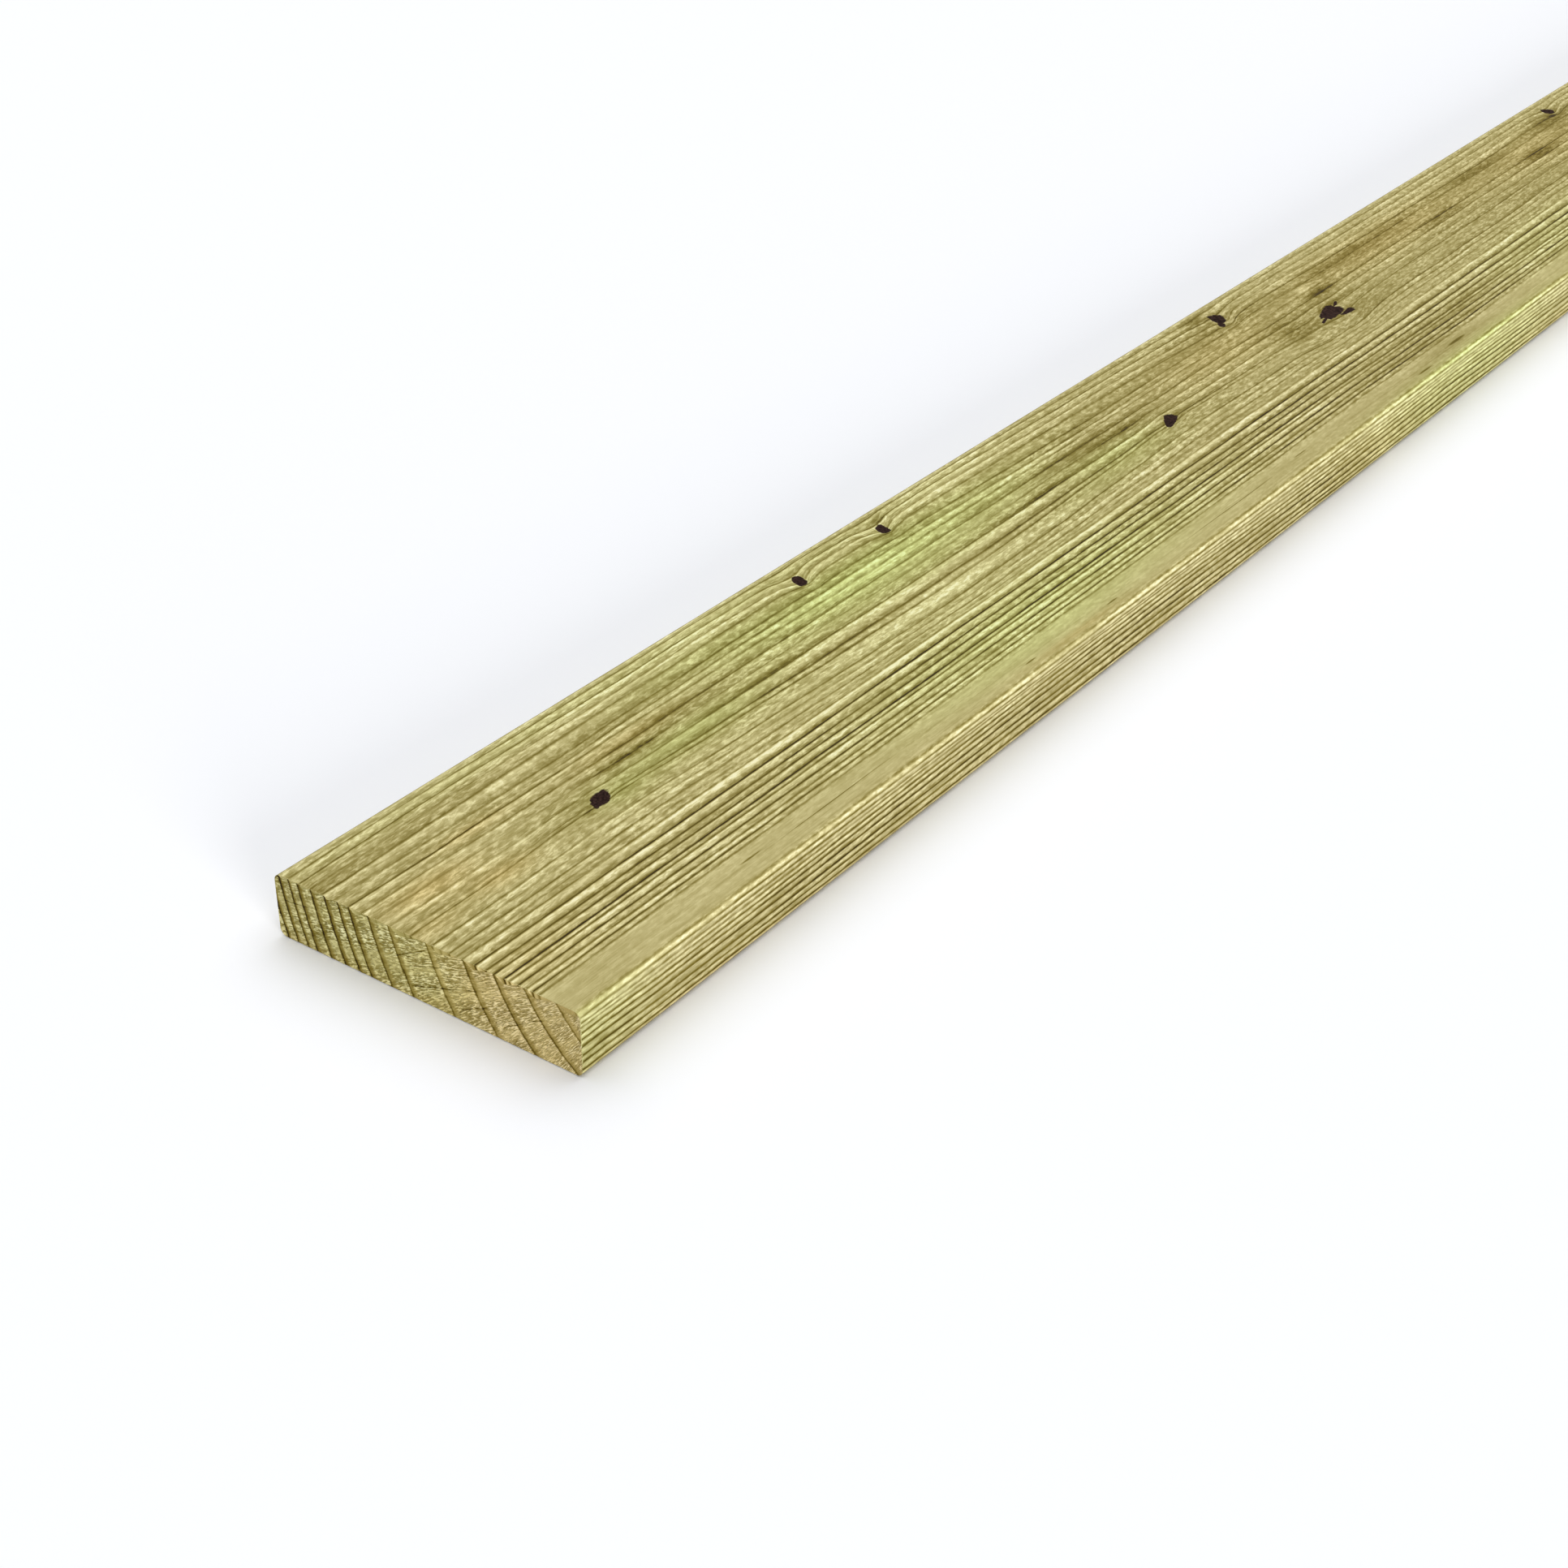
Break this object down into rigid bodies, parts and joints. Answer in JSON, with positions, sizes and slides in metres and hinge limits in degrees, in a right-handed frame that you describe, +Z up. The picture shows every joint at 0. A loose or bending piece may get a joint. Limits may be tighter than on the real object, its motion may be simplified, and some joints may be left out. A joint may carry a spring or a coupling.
{
  "type": "decking board",
  "caption": "Plain planed decking board of pressure-treated softwood, with eased long edges and square-sawn ends, laid flat across joists.",
  "frame": {"origin": "centre of the underside, which lies on the joists or the floor", "axes": "+X along the board's length, +Y across its width, +Z up out of the walking face"},
  "size_m": [1.8, 0.144, 0.027],
  "materials": {
    "treated_pine": "planed, pressure treated, no coating"
  },
  "bodies": {
    "root": {"board": "treated_pine"}
  },
  "joints": []
}
